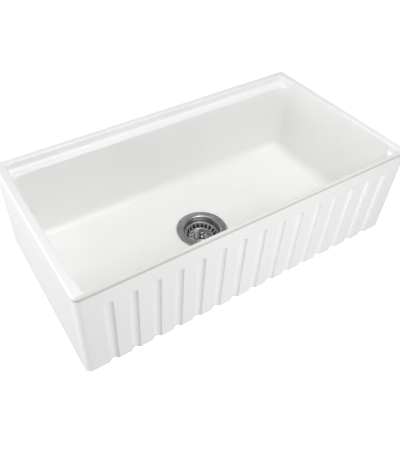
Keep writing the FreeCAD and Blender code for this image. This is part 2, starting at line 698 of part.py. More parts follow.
# ---------------------------------------------------------------- basket and what lifts with it
def make_basket():
    """One pressed sheet: rim, leaning wall, floor ring and dome, with its underside a sheet away."""
    sheet = s("basket_sheet")
    wall_lean = s("basket_taper") / (basket_top_z - basket_floor_z)
    wall_width = sheet * root(1 + wall_lean * wall_lean)
    dome_lean = s("dome_taper") / s("dome_rise")
    dome_inset = sheet * (root(1 + dome_lean * dome_lean) - dome_lean)
    underside_z = basket_floor_z - sheet
    outer_at_rim = basket_mouth_radius + wall_width - s("basket_rim_height") * wall_lean
    outer_foot = basket_foot_radius + wall_width - sheet * wall_lean
    corner = s("basket_rim_round")
    body = turned_body("basket", [
        (basket_rim_radius, basket_rim_z), (basket_rim_radius, basket_top_z, corner),
        (basket_mouth_radius, basket_top_z, corner),
        (basket_foot_radius, basket_floor_z, s("basket_foot_round")), (dome_foot_radius, basket_floor_z),
        (dome_top_radius, dome_z, s("dome_round")), (stem_hole_radius, dome_z),
        (stem_hole_radius, dome_z - sheet), (dome_top_radius - dome_inset, dome_z - sheet),
        (dome_foot_radius - dome_inset, underside_z),
        (outer_foot, underside_z, s("basket_foot_round") + sheet), (outer_at_rim, basket_rim_z)])
    slot_plan = new_sketch(body, "slot_plan", "XZ_Plane", up=dome_foot_radius)
    half = s("slot_width") / 2
    low = basket_floor_z + s("slot_foot_gap")
    high = basket_rim_z - s("slot_top_gap")
    outline(slot_plan, [(-half, low), (half, low), (half, high), (-half, high)])
    reach = basket_rim_radius - dome_foot_radius
    slot = feature(body, "Pocket", "slot", slot_plan, Reversed=True, Length=reach)
    clear = 0.5
    hole_plan = new_sketch(body, "hole_plan", "XY_Plane", up=basket_floor_z + clear)
    hole_ring = (dome_foot_radius + basket_foot_radius) / 2
    repeat_around(body, "slots", slot, hole_plan, s("slot_count"))
    circle(hole_plan, hole_ring, 0, s("floor_hole_radius"))
    drain_hole = feature(body, "Pocket", "floor_hole", hole_plan, Length=sheet + 2 * clear)
    repeat_around(body, "floor_holes", drain_hole, hole_plan, s("floor_hole_count"))
    return body


def make_knob():
    crown = dome_z + s("knob_height")
    head = crown - s("knob_head")
    bore = s("stem_radius") + s("stem_play")
    bore_end = dome_z + s("knob_bore_depth")
    foot = dome_z + s("knob_foot_height")
    taper = s("knob_taper")
    return turned_body("basket_knob", [
        (0, bore_end), (bore, bore_end), (bore, dome_z), (s("knob_foot_radius"), dome_z),
        (s("knob_foot_radius"), foot), (s("knob_neck_radius"), foot + taper),
        (s("knob_neck_radius"), head - taper, s("knob_neck_round")),
        (s("knob_radius"), head, s("knob_edge_round")), (s("knob_radius"), crown, s("knob_crown_round")),
        (0, crown)])


def make_stem():
    rivet_end = clip_top_z - s("clip_strip")
    head_end = rivet_end - s("rivet_head_height")
    thread_end = dome_z + s("knob_bore_depth")
    return turned_body("basket_stem", [
        (0, head_end), (s("rivet_head_radius"), head_end), (s("rivet_head_radius"), rivet_end),
        (s("rivet_radius"), rivet_end), (s("rivet_radius"), clip_top_z), (s("stem_radius"), clip_top_z),
        (s("stem_radius"), thread_end), (0, thread_end)])


def make_stopper():
    bore = s("stem_radius") + s("stem_play")
    lip_top = stopper_bottom_z + s("stopper_lip")
    cone_top = lip_top + s("stopper_cone_rise")
    stopper_radius = cup_foot_radius - s("cup_foot_round") - s("stopper_play")
    plate_radius = outlet_radius - s("stopper_plate_inset")
    relief = plate_radius + s("stopper_plate_play")
    turned_body("stopper", [
        (bore, plate_top_z), (relief, plate_top_z), (relief + s("stopper_hollow"), stopper_bottom_z),
        (stopper_radius, stopper_bottom_z), (stopper_radius, lip_top, s("stopper_lip_round")),
        (s("stopper_neck_radius") + s("stopper_cone_run"), cone_top, s("stopper_neck_round")),
        (s("stopper_neck_radius"), stopper_top_z), (bore, stopper_top_z)])
    flat_ring("stopper_plate", stem_hole_radius, plate_radius, plate_bottom_z, s("stopper_plate_thickness"))


def make_stem_nut():
    body = new_body("stem_nut")
    plan = new_sketch(body, "nut_plan", "XY_Plane", up=plate_bottom_z - s("stem_nut_height"))
    flat = s("stem_nut_flats") / 2
    point = flat * 2 / root(Size.of(3))
    outline(plan, [(point, 0), (point / 2, flat), (-point / 2, flat), (-point, 0),
                   (-point / 2, -flat), (point / 2, -flat)])
    circle(plan, 0, 0, s("stem_radius") + s("stem_play"))
    feature(body, "Pad", "nut_block", plan, Length=s("stem_nut_height"))
    return body


def make_clip():
    """A bowed strip, riveted under the stem, whose two leaves spring against the hub's hole."""
    body = new_body("spring_clip")
    shoulder = s("stem_radius")
    strip = s("clip_strip")
    reach = s("bridge_hole_radius") - s("clip_play")
    middle = clip_top_z - s("clip_height") / 2
    tip = clip_top_z - s("clip_height")
    tip_x = s("rivet_radius") + strip
    inside = s("clip_bend")
    outside = inside + strip
    side = new_sketch(body, "clip_side", "XZ_Plane", up=-s("clip_width") / 2)
    outline(side, [
        (shoulder, clip_top_z, inside), (-shoulder, clip_top_z, inside), (-reach, middle, outside),
        (-tip_x, tip), (strip - tip_x, tip), (strip - reach, middle, inside),
        (strip - shoulder, clip_top_z - strip), (shoulder - strip, clip_top_z - strip),
        (reach - strip, middle, inside), (tip_x - strip, tip), (tip_x, tip), (reach, middle, outside)])
    feature(body, "Pad", "clip_strip_pad", side, Length=s("clip_width"))
    hole_plan = new_sketch(body, "rivet_plan", "XY_Plane", up=clip_top_z)
    circle(hole_plan, 0, 0, s("rivet_radius") + s("stem_play"))
    clear = 0.5
    feature(body, "Pocket", "rivet_hole", hole_plan, Length=strip + clear)
    return body


make_basin()
make_strainer()
make_clamping_rings()
make_locknut()
make_bridge()
make_tail()
make_coupling()
make_basket()
make_knob()
make_stem()
make_stopper()
make_stem_nut()
make_clip()
for node in NODES[1:]:
    put_at(node, y=drain_y)
doc.recompute()

# ---------------------------------------------------------------- check, then write
faults = [thing.Label for thing in doc.Objects if "Invalid" in thing.State or "Error" in thing.State]
for node in NODES:
    if node.Shape.isNull() or not node.Shape.isValid() or len(node.Shape.Solids) != 1:
        faults.append(node.Label)
if faults:
    raise RuntimeError("not built: " + ", ".join(faults))

os.makedirs("parts", exist_ok=True)
for node in NODES:
    node.Shape.exportStep(f"parts/{node.Label}.step")
    box = node.Shape.BoundBox
    print(f"{node.Label}: {node.Shape.Volume / 1000:.2f} ml, z {box.ZMin:.2f} to {box.ZMax:.2f}")
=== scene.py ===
import json
import math

import bmesh
import bpy
from bpy.props import FloatProperty, FloatVectorProperty, IntProperty, PointerProperty
from mathutils import Matrix, Vector


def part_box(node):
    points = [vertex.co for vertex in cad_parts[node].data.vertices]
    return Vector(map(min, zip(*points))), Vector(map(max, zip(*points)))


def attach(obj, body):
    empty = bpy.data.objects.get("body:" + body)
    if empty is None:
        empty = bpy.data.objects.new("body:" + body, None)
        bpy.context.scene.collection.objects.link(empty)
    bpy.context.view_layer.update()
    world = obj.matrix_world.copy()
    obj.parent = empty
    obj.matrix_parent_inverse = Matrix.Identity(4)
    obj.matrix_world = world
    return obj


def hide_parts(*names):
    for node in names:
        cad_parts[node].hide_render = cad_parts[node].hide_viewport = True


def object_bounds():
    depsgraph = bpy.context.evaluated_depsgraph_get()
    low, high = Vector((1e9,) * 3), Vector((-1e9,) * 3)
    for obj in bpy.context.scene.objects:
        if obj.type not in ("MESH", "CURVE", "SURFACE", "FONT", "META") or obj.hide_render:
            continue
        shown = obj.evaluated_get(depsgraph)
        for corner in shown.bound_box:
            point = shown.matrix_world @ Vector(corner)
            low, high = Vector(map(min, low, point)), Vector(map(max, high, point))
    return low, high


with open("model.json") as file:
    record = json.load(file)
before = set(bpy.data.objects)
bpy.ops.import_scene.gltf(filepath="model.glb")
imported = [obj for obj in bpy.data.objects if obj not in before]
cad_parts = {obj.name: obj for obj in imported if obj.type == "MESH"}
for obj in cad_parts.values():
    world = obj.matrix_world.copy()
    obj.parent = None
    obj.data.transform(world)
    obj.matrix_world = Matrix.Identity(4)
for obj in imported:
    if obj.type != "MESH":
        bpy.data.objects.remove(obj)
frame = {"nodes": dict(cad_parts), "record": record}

bl_info = {
    "name": "Fluted Apron Sink",
    "version": (1, 0, 0),
    "blender": (4, 5, 0),
    "location": "View3D > Sidebar > Apron Sink",
    "description": "Builds the looks of a glazed apron front sink and its basket strainer",
    "category": "Object",
}

# ---------------------------------------------------------------- places taken from the frame
CAD_LOW, CAD_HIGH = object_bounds()
BASIN_LOW, BASIN_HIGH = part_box("sink_basin")
FLANGE_LOW, FLANGE_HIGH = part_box("strainer_body")
DRAIN_X = (FLANGE_LOW.x + FLANGE_HIGH.x) / 2
DRAIN_Y = (FLANGE_LOW.y + FLANGE_HIGH.y) / 2
DRAIN_AXIS = (DRAIN_X, DRAIN_Y, 0.0)

# ---------------------------------------------------------------- fixed values
MILLIMETRE = 0.001
WELD = 0.01 * MILLIMETRE            # points nearer than this are one
SHARP_ANGLE = math.radians(35)      # edges that turn more than this are drawn sharp
ROUND_STEPS = 4                     # pieces of each rounded corner of an outline
PATH_STEPS = 72                     # points per turn of the thread
CREST_SIDES = 6
LUG_STEPS = (-1.0, -0.5, 0.0, 0.5, 1.0)     # columns across a lug, as shares of its half width
RIB_STEPS = 8                       # columns from the middle of a coupling nut's slice to its end
BETWEEN_LUGS = 1 / 1.4              # where the extra column between two lugs stands
WIDEST_SLOT = 0.7                   # share of a half slice that a slot may take near the axis

# bands of the glaze, each from where a change begins to where it ends, in metres
# a darker line along the rim's outer faces: in from those faces
EDGE_LINE_BAND = (0.003, 0.0045)    # in from the outer faces
# painted shade on the front lip's top: in from the apron's face, and down from the rim's top
LIP_SHADE_BAND = (0.005, 0.008)     # in from the apron's face
LIP_SHADE_DROP = (0.006, 0.009)     # down from the rim's top
MATT_BAND = (0.006, 0.008)          # in from the outer faces
MATT_DROP = (0.006, 0.012)          # down from the rim's top

# slot, colour, roughness
STEELS = (
    ("polished_gunmetal", (0.3, 0.3, 0.31), 0.18),
    ("bare_steel", (0.55, 0.55, 0.56), 0.3),
    ("plated_tube", (0.7, 0.7, 0.71), 0.12),
    ("cast_zinc", (0.45, 0.45, 0.46), 0.5),
)
# slot, colour, grain, roughness
SOFTS = (
    ("grey_foam", (0.12, 0.12, 0.125), 1500.0, 0.8),
    ("paper_ring", (0.45, 0.36, 0.25), 700.0, 0.8),
)
GUNMETAL_ROUGHNESS = 0.34
BASKET_ROUGHNESS = 0.24

PICTURE_WIDE, PICTURE_HIGH = 400, 457
SENSOR_WIDTH = 36.0
FLOOR_HALF = 6.0
FLOOR_GAP = 0.5 * MILLIMETRE        # between the tube's end and the floor
BASIN_MIDDLE = (0.0, 0.0, 0.1)
APRON_MIDDLE = (0.05, -0.2, 0.12)
# name, place, aimed at, size in metres, watts
SOFTBOXES = (
    ("over_basin", (0.0, -0.1, 1.7), BASIN_MIDDLE, (1.0, 0.8), 7.3),
    ("over_apron", (0.0, -1.0, 1.4), BASIN_MIDDLE, (1.0, 0.6), 8.8),
    ("left_side", (-1.6, 0.45, 0.5), BASIN_MIDDLE, (0.8, 0.8), 10.6),
    ("left_low", (-1.4, 0.1, 0.2), (-0.3, 0.0, 0.12), (0.5, 0.3), 5.4),
    ("right_side", (1.5, -0.2, 0.7), BASIN_MIDDLE, (0.8, 0.8), 2.4),
    ("apron_key", (0.15, -0.9, 0.2), APRON_MIDDLE, (0.4, 0.3), 1.2),
    ("apron_low", (0.0, -1.3, -0.5), BASIN_MIDDLE, (1.5, 0.6), 4.8),
)


# ---------------------------------------------------------------- shader maths
class Shade:
    """A shader socket, or a number, that can be used in Python expressions."""

    def __init__(self, tree, value):
        self.tree = tree
        self.value = value

    def math(self, operation, *others):
        node = self.tree.nodes.new("ShaderNodeMath")
        node.operation = operation
        for slot, item in enumerate((self, *others)):
            raw = item.value if isinstance(item, Shade) else item
            if isinstance(raw, (int, float)):
                node.inputs[slot].default_value = raw
            else:
                self.tree.links.new(raw, node.inputs[slot])
        return Shade(self.tree, node.outputs[0])

    def __add__(self, other):
        return self.math("ADD", other)

    def __sub__(self, other):
        return self.math("SUBTRACT", other)

    def __mul__(self, other):
        return self.math("MULTIPLY", other)

    def __truediv__(self, other):
        return self.math("DIVIDE", other)

    def __radd__(self, other):
        return Shade(self.tree, other).math("ADD", self)

    def __rsub__(self, other):
        return Shade(self.tree, other).math("SUBTRACT", self)

    def __rmul__(self, other):
        return Shade(self.tree, other).math("MULTIPLY", self)

    def __pow__(self, other):
        return self.math("POWER", other)

    def ramp_between(self, low, high):
        """0 at low, 1 at high, smooth between."""
        node = self.tree.nodes.new("ShaderNodeMapRange")
        node.interpolation_type = "SMOOTHSTEP"
        self.tree.links.new(self.value, node.inputs["Value"])
        node.inputs["From Min"].default_value = low
        node.inputs["From Max"].default_value = high
        return Shade(self.tree, node.outputs["Result"])


class NodeMaker:
    """Adds nodes to its tree. A class that inherits from it sets self.tree."""

    def node(self, kind, settings=None, output=0, **sockets):
        made = self.tree.nodes.new(kind)
        for name, value in (settings or {}).items():
            setattr(made, name, value)
        for name, value in sockets.items():
            socket = made.inputs[name.replace("_", " ")]
            raw = value.value if isinstance(value, Shade) else value
            if isinstance(raw, bpy.types.NodeSocket):
                self.tree.links.new(raw, socket)
            else:
                socket.default_value = raw
        return Shade(self.tree, made.outputs[output])


class Finish(NodeMaker):
    """A material in the making: its shader, its object coordinates and any other node."""

    def __init__(self, name):
        self.material = bpy.data.materials.new(name)
        self.material.use_nodes = True
        self.tree = self.material.node_tree
        self.tree.nodes.clear()
        self.shader = self.tree.nodes.new("ShaderNodeBsdfPrincipled")
        output = self.tree.nodes.new("ShaderNodeOutputMaterial")
        self.tree.links.new(self.shader.outputs["BSDF"], output.inputs["Surface"])
        coordinates = self.tree.nodes.new("ShaderNodeTexCoord")
        self.place = Shade(self.tree, coordinates.outputs["Object"])

    def noise(self, place, scale, detail=2.0, roughness=0.5):
        return self.node("ShaderNodeTexNoise", Vector=place, Scale=scale, Detail=detail, Roughness=roughness)

    def axes(self):
        node = self.tree.nodes.new("ShaderNodeSeparateXYZ")
        self.tree.links.new(self.place.value, node.inputs[0])
        return [Shade(self.tree, node.outputs[i]) for i in range(3)]

    def join(self, x, y, z):
        return self.node("ShaderNodeCombineXYZ", X=x, Y=y, Z=z)

    def blend(self, factor, first, second):
        """Mix two colours."""
        node = self.tree.nodes.new("ShaderNodeMix")
        node.data_type = "RGBA"
        for socket, item in ((node.inputs[0], factor), (node.inputs[6], first), (node.inputs[7], second)):
            raw = item.value if isinstance(item, Shade) else item
            if isinstance(raw, bpy.types.NodeSocket):
                self.tree.links.new(raw, socket)
            else:
                socket.default_value = raw
        return Shade(self.tree, node.outputs[2])

    def bump(self, height, distance, strength=1.0):
        return self.node("ShaderNodeBump", Height=height, Distance=distance, Strength=strength)

    def set(self, **sockets):
        for name, value in sockets.items():
            socket = self.shader.inputs[name.replace("_", " ")]
            if isinstance(value, Shade):
                self.tree.links.new(value.value, socket)
            else:
                socket.default_value = value


def coloured(colour, brightness=1.0):
    return (*(share * brightness for share in colour), 1.0)


def from_drain_axis(finish):
    """Distance from the drain's axis, angle about it, and height, as shader values."""
    x, y, z = finish.axes()
    x = x - DRAIN_X
    y = y - DRAIN_Y
    return (x * x + y * y) ** 0.5, y.math("ARCTAN2", x), z


# ---------------------------------------------------------------- geometry trees
class GrowTree(NodeMaker):
    """A Geometry Nodes tree in the making, with named inputs, that ends in one plain mesh."""

    def __init__(self, name):
        self.tree = bpy.data.node_groups.new(name, "GeometryNodeTree")
        self.tree.is_modifier = True
        self.sockets = {}
        for side in ("INPUT", "OUTPUT"):
            self.tree.interface.new_socket("Geometry", in_out=side, socket_type="NodeSocketGeometry")
        self.start = self.tree.nodes.new("NodeGroupInput")
        self.seed = Shade(self.tree, self.start.outputs["Geometry"])

    def ask(self, name, kind):
        """A named input of the tree: kind is Float, Int, Vector or Material."""
        item = self.tree.interface.new_socket(name, in_out="INPUT", socket_type=f"NodeSocket{kind}")
        self.sockets[name] = item.identifier
        return Shade(self.tree, self.start.outputs[name])

    def end(self, geometry):
        solid = self.node("GeometryNodeRealizeInstances", Geometry=geometry)
        finish = self.ask("Finish", "Material")
        painted = self.node("GeometryNodeSetMaterial", Geometry=solid, Material=finish)
        last = self.tree.nodes.new("NodeGroupOutput")
        self.tree.links.new(painted.value, last.inputs["Geometry"])
        return self

    def grow(self, name, seed, **values):
        """Run the tree on a mesh and return what grew as a plain mesh."""
        carrier = bpy.data.objects.new(name + "_seed", seed)
        bpy.context.scene.collection.objects.link(carrier)
        modifier = carrier.modifiers.new("grow", "NODES")
        modifier.node_group = self.tree
        for key, value in values.items():
            modifier[self.sockets[key.replace("_", " ")]] = value
        graph = bpy.context.evaluated_depsgraph_get()
        mesh = bpy.data.meshes.new_from_object(carrier.evaluated_get(graph))
        mesh.name = name
        bpy.data.objects.remove(carrier)
        return mesh


def slices_tree():
    """Copies of one slice, turned about the upright axis at Axis until they close a ring."""
    tree = GrowTree("ring_of_slices")
    count, axis = tree.ask("Count", "Int"), tree.ask("Axis", "Vector")
    spots = tree.node("GeometryNodeMeshLine", {"mode": "OFFSET"}, Count=count, Start_Location=axis,
                      Offset=(0.0, 0.0, 0.0))
    turn = tree.node("GeometryNodeInputIndex") * (2 * math.pi) / count
    euler = tree.node("ShaderNodeCombineXYZ", Z=turn)
    rotation = tree.node("FunctionNodeEulerToRotation", Euler=euler)
    ring = tree.node("GeometryNodeInstanceOnPoints", Points=spots, Instance=tree.seed, Rotation=rotation)
    return tree.end(ring)


def thread_tree():
    """A ridge that winds up a cylinder: the crest of a screw thread."""
    tree = GrowTree("thread_crest")
    radius, pitch = tree.ask("Radius", "Float"), tree.ask("Pitch", "Float")
    turns, crest = tree.ask("Turns", "Float"), tree.ask("Crest", "Float")
    foot = tree.ask("Foot", "Vector")
    path = tree.node("GeometryNodeCurveSpiral", Resolution=PATH_STEPS, Rotations=turns, Start_Radius=radius,
                     End_Radius=radius, Height=turns * pitch)
    placed = tree.node("GeometryNodeSetPosition", Geometry=path, Offset=foot)
    section = tree.node("GeometryNodeCurvePrimitiveCircle", Resolution=CREST_SIDES, Radius=crest)
    ridge = tree.node("GeometryNodeCurveToMesh", Curve=placed, Profile_Curve=section, Fill_Caps=True)
    return tree.end(ridge)


# ---------------------------------------------------------------- meshes
def rounded_outline(corners):
    """Points (radius, height) of an outline whose corners (radius, height, round) are rounded off."""
    points = []
    for i, (radius, height, corner) in enumerate(corners):
        tip = Vector((radius, height))
        if not corner:
            points.append(tip)
            continue
        back = (Vector(corners[i - 1][:2]) - tip).normalized()
        ahead = (Vector(corners[(i + 1) % len(corners)][:2]) - tip).normalized()
        half = back.angle(ahead) / 2
        centre = tip + (back + ahead).normalized() * (corner / math.sin(half))
        arm = tip + back * (corner / math.tan(half)) - centre
        turn = math.copysign(math.pi - 2 * half, ahead.cross(back))
        points += [centre + Matrix.Rotation(turn * k / ROUND_STEPS, 2) @ arm for k in range(ROUND_STEPS + 1)]
    return points


def slice_mesh(name, columns, is_closed=True, is_gap=None, move=None):
    """A slice of a ring from columns, each an angle and its outline of (radius, height) points.

    An angle can be a function of the radius. is_gap(row, column) leaves a face out, and move(grid) shifts
    the finished grid's points.
    """
    made = bmesh.new()
    grid = []
    for angle_at, outline in columns:
        line = []
        for radius, height in outline:
            angle = angle_at(radius) if callable(angle_at) else angle_at
            line.append(made.verts.new((radius * math.cos(angle), radius * math.sin(angle), height)))
        grid.append(line)
    rows = len(grid[0])
    for j in range(len(grid) - 1):
        for i in range(rows if is_closed else rows - 1):
            if is_gap is None or not is_gap(i, j):
                k = (i + 1) % rows
                made.faces.new((grid[j][i], grid[j + 1][i], grid[j + 1][k], grid[j][k]))
    if move:
        move(grid)
    mesh = bpy.data.meshes.new(name)
    made.to_mesh(mesh)
    made.free()
    return mesh


def welded(mesh):
    """Join the slices' shared edges and point every face outwards."""
    made = bmesh.new()
    made.from_mesh(mesh)
    bmesh.ops.remove_doubles(made, verts=made.verts, dist=WELD)
    bmesh.ops.recalc_face_normals(made, faces=made.faces)
    made.to_mesh(mesh)
    made.free()
    mesh.shade_smooth()
    mesh.set_sharp_from_angle(angle=SHARP_ANGLE)
    return mesh


def add_piece(name, mesh, body, node=None):
    """A visible piece that rides on a body and may stand for a CAD node."""
    piece = bpy.data.objects.new(name, mesh)
    bpy.context.scene.collection.objects.link(piece)
    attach(piece, body)
    if node:
        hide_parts(node)
    return piece


# ---------------------------------------------------------------- finishes
def white_glaze(look):
    """Glaze with a slow wave and a fine orange peel, a darker line and a matt band along the rim's outer
    edge, and painted shade on the front lip's top.
    """
    finish = Finish("white_glaze")
    cloud = finish.noise(finish.place, 9.0, 3.0)
    orange_peel = finish.noise(finish.place, 160.0, 2.0)
    slow_wave = finish.noise(finish.place, 14.0, 1.0)
    tint = finish.blend(cloud.ramp_between(0.35, 0.7), coloured(look.glaze), coloured(look.glaze_deep))
    x, y, z = finish.axes()
    half = (BASIN_HIGH - BASIN_LOW) / 2
    middle = (BASIN_HIGH + BASIN_LOW) / 2
    inward_x = half.x - (x - middle.x).math("ABSOLUTE")
    inward_y = half.y - (y - middle.y).math("ABSOLUTE")
    inward = inward_x.math("MINIMUM", inward_y)
    down = BASIN_HIGH.z - z
    # a darker line along the rim's outer faces a little below its top, stronger and weaker in patches
    edge_line = (1.0 - inward.ramp_between(*EDGE_LINE_BAND)) * down.ramp_between(0.0, look.edge_line_depth)
    edge_line = edge_line * (1.0 - down.ramp_between(look.edge_line_depth, 2.0 * look.edge_line_depth))
    uneven = finish.noise(finish.place, 7.0, 2.0).ramp_between(0.2, 0.55)
    tint = finish.blend(edge_line * (0.55 + 0.45 * uneven), tint, coloured(look.line_and_lip_shade))
    forward = y - BASIN_LOW.y
    # painted shade: the front lip's top is darkened where the lamps light it more than the ledge, and the
    # darker line on the rim's edge is deepened
    lip = (1.0 - forward.ramp_between(*LIP_SHADE_BAND)) * (1.0 - down.ramp_between(*LIP_SHADE_DROP))
    tint = finish.blend(0.5 * lip + 0.3 * edge_line, tint, coloured(look.line_and_lip_shade))
    matt = (1.0 - inward.ramp_between(*MATT_BAND)) * (1.0 - down.ramp_between(*MATT_DROP))
    finish.set(Base_Color=tint, Roughness=0.26 + 0.08 * cloud + 0.45 * matt, Specular_IOR_Level=0.4,
               Coat_Weight=0.22 * (1.0 - matt), Coat_Roughness=0.15)
    height = 0.35 * orange_peel + slow_wave * 4.0
    finish.set(Normal=finish.bump(height, 0.12 * MILLIMETRE))
    return finish.material


def turned_steel(name, colour, roughness):
    """Metal with the fine rings of a lathe about the drain's axis, brushed lighter and darker around it."""
    finish = Finish(name)
    radius, around, height = from_drain_axis(finish)
    rings = finish.noise(finish.join(radius, height, 0.0), 1800.0, 3.0, 0.6)
    patch = finish.noise(finish.place, 60.0, 3.0)
    streak = finish.noise(finish.join(around * 0.6, radius * 45.0, height * 45.0), 3.2, 3.0, 0.6)
    uneven = 0.5 * patch.ramp_between(0.3, 0.75) + 0.5 * streak.ramp_between(0.35, 0.65)
    tint = finish.blend(uneven, coloured(colour, 1.15), coloured(colour, 0.72))
    sheen = roughness + 0.12 * (rings - 0.5) + 0.08 * (patch - 0.5)
    finish.set(Base_Color=tint, Metallic=1.0, Roughness=sheen, Normal=finish.bump(rings, 0.03 * MILLIMETRE))
    return finish.material


def speckled(name, colour, grain, roughness):
    """Rubber, foam or paper with a fine grain."""
    finish = Finish(name)
    specks = finish.noise(finish.place, grain, 4.0, 0.6)
    tint = finish.blend(specks, coloured(colour, 0.8), coloured(colour, 1.25))
    finish.set(Base_Color=tint, Roughness=roughness + 0.1 * specks,
               Normal=finish.bump(specks, 0.1 * MILLIMETRE))
    return finish.material


# ---------------------------------------------------------------- properties
def length(name, description, millimetres):
    return FloatProperty(name=name, description=description, unit="LENGTH", precision=4,
                         default=millimetres * MILLIMETRE, min=0)


class LookSettings(bpy.types.PropertyGroup):
    glaze: FloatVectorProperty(name="Glaze", description="Colour of the glaze", subtype="COLOR",
                               default=(0.925, 0.922, 0.915), min=0, max=1)
    glaze_deep: FloatVectorProperty(name="Deep glaze", description="Colour where the glaze lies thicker",
                                    subtype="COLOR", default=(0.91, 0.908, 0.9), min=0, max=1)
    # one colour for the darker line along the rim's outer edge and for the painted shade on the front lip's
    # top
    line_and_lip_shade: FloatVectorProperty(name="Edge line and lip shade", description="Colour of the darker line on the rim's edge and of the painted shade on the front lip",
                                    subtype="COLOR", default=(0.58, 0.572, 0.556), min=0, max=1)
    edge_line_depth: FloatProperty(name="Edge line", description="Rim's top to the middle of the thin line",
                             subtype="DISTANCE", default=0.0045, min=0)
    gunmetal: FloatVectorProperty(name="Gunmetal", description="Colour of the strainer", subtype="COLOR",
                                  default=(0.42, 0.42, 0.42), min=0, max=1)
    # the strainer's steel painted brighter for the basket: painted light against the shade inside the
    # strainer's cup
    lit_basket_steel: FloatVectorProperty(name="Basket", description="Colour of the lift-out basket",
                                      subtype="COLOR", default=(0.56, 0.56, 0.55), min=0, max=1)
    rubber: FloatVectorProperty(name="Rubber", description="Colour of the rubber pieces", subtype="COLOR",
                                default=(0.02, 0.02, 0.022), min=0, max=1)


class BasketSettings(bpy.types.PropertyGroup):
    rim_width: length("Rim width", "Flat of the rim", 3.6)
    lip: length("Lip", "Height of the rim's turned-down lip", 2.2)
    foot_radius: length("Foot", "Radius where the wall meets the floor", 28.0)
    floor_ring: length("Floor ring", "Flat ring of the floor around the dome", 9.5)
    dome_taper: length("Dome taper", "How much narrower the dome is at its top", 3.5)
    dome_rise: length("Dome rise", "Height of the dome", 5.0)
    stem_hole: length("Stem hole", "Radius of the hole for the stem", 2.6)
    sheet: length("Sheet", "Thickness of the metal", 1.0)
    slot_width: length("Slot width", "One slot in the wall", 4.2)
    slot_foot: length("Slot foot", "Floor to the bottom of the slots", 1.6)
    slot_top: length("Slot top", "Rim's lip to the top of the slots", 2.0)
    hole_radius: length("Floor hole", "Radius of a hole in the floor", 2.2)
    slices: IntProperty(name="Slices", description="Equal slices, each with two slots and a floor hole",
                        default=10, min=3)


class NutSettings(bpy.types.PropertyGroup):
    lugs: IntProperty(name="Lugs", description="Lugs around the locknut", default=8, min=3)
    lug_reach: length("Lug reach", "A lug, past the nut's wall", 7.0)
    lug_width: length("Lug width", "One lug, across", 15.0)
    lug_step: length("Lug step", "Lugs end this far under the nut's top", 0.6)
    nut_wall: length("Nut wall", "Locknut between its lugs", 7.15)
    nut_flange: length("Nut flange", "Height of its plain upper flange", 2.6)
    ribs: IntProperty(name="Ribs", description="Grip ribs around the coupling nut", default=12, min=3)
    rib_reach: length("Rib reach", "A rib, past the nut's wall", 1.6)
    rib_width: length("Rib width", "One rib, across", 4.6)
    rib_foot: length("Rib foot", "Foot of the nut to the foot of the ribs", 3.0)
    rib_gap: length("Rib gap", "Top of the ribs to the top of the nut", 1.5)
    coupling_wall: length("Coupling wall", "Wall of the coupling nut", 4.0)
    coupling_floor: length("Coupling floor", "Its inward flange", 2.6)
    coupling_round: length("Coupling round", "Its rounded foot", 2.0)
    tube_radius: length("Tube", "Radius of the hole for the tube", 19.85)
    thread_pitch: length("Thread pitch", "Crest to crest of the strainer's thread", 2.2)
    thread_crest: length("Thread crest", "Half the width of a crest", 0.45)
    thread_shown: length("Thread shown", "Height of the thread under the locknut", 5.0)
    thread_inset: length("Thread inset", "Locknut's bore to the middle of a crest", 0.25)


class StageSettings(bpy.types.PropertyGroup):
    camera_place: FloatVectorProperty(name="Camera", description="Where the camera stands", size=3,
                                      subtype="TRANSLATION", default=(-0.5006, -0.6730, 0.8440))
    camera_turn: FloatProperty(name="Turn", description="Camera's direction, from +Y towards +X",
                               subtype="ANGLE", default=math.radians(31.05))
    camera_dip: FloatProperty(name="Dip", description="How far the camera looks down", subtype="ANGLE",
                              default=math.radians(44.32))
    focal_pixels: FloatProperty(name="Focal length", description="Focal length in pixels of the picture",
                                default=502.6)
    centre_right: FloatProperty(name="Centre across", description="Optical centre, pixels from the left",
                                default=164.1)
    centre_down: FloatProperty(name="Centre down", description="Optical centre, pixels from the top",
                               default=223.1)
    sky: FloatProperty(name="Sky", description="Strength of the even light from all sides", default=0.34,
                       min=0)


# ---------------------------------------------------------------- operators
def area_light(name, place, aim, size, power):
    data = bpy.data.lights.new(name, "AREA")
    data.shape = "RECTANGLE"
    data.size, data.size_y = size
    data.energy = power
    lamp = bpy.data.objects.new(name, data)
    lamp.location = place
    lamp.rotation_euler = (Vector(aim) - Vector(place)).to_track_quat("-Z", "Y").to_euler()
    bpy.context.scene.collection.objects.link(lamp)


